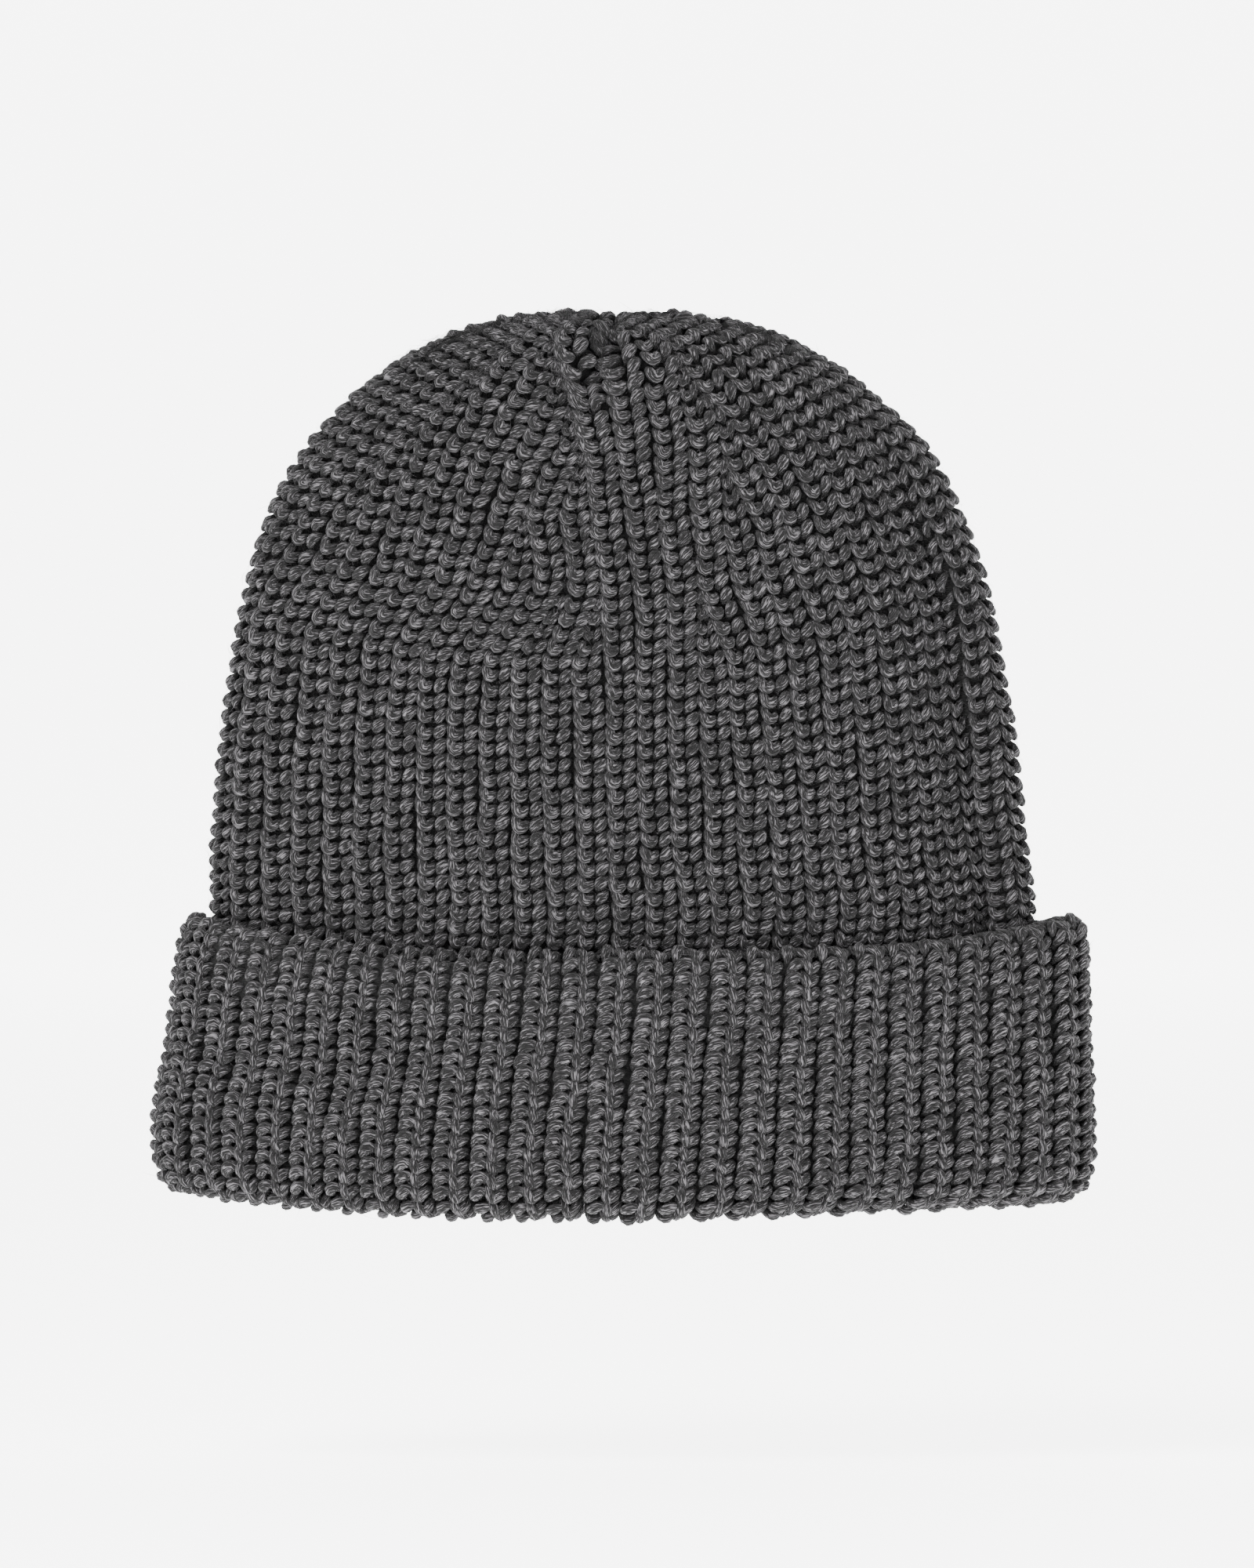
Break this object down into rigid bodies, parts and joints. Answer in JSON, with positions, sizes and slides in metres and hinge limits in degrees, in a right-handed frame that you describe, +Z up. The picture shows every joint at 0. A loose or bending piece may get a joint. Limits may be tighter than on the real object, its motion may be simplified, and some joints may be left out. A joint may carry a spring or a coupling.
{
  "type": "knit beanie",
  "caption": "Soft cuffed beanie in chunky charcoal rib knit, with a gathered crown, a back seam and a deep turned-up cuff that turns down.",
  "frame": {"origin": "middle of the footprint, on the surface the folded hem stands on", "axes": "+Z up to the gathered crown, front of the hat towards -Y, wearer's left towards +X"},
  "size_m": [0.2287, 0.066, 0.2212],
  "materials": {
    "rib_knit": "chunky half-cardigan rib in charcoal melange wool, slightly hairy",
    "cuff_knit": "the same rib seen from its other side, with tucked strands between the ribs",
    "edge_yarn": "soft cast-on edge of the same charcoal melange yarn",
    "seam_yarn": "the same yarn, used for joining and drawing up"
  },
  "bodies": {
    "hat": {"body_panel": "rib_knit", "crown_panel": "rib_knit", "crown_gather": "rib_knit", "gather_yarn": "seam_yarn", "gather_knot": "seam_yarn", "back_seam": "seam_yarn", "crown_seam": "seam_yarn"},
    "cuff": {"cuff_band": "cuff_knit", "fold_edge": "cuff_knit", "cast_on_edge": "edge_yarn", "cuff_seam": "seam_yarn"}
  },
  "joints": [
    {"name": "cuff_turn_down", "type": "slide", "parent": "hat", "child": "cuff", "axis": [0, 0, -1], "range_m": [0, 0.054]}
  ]
}
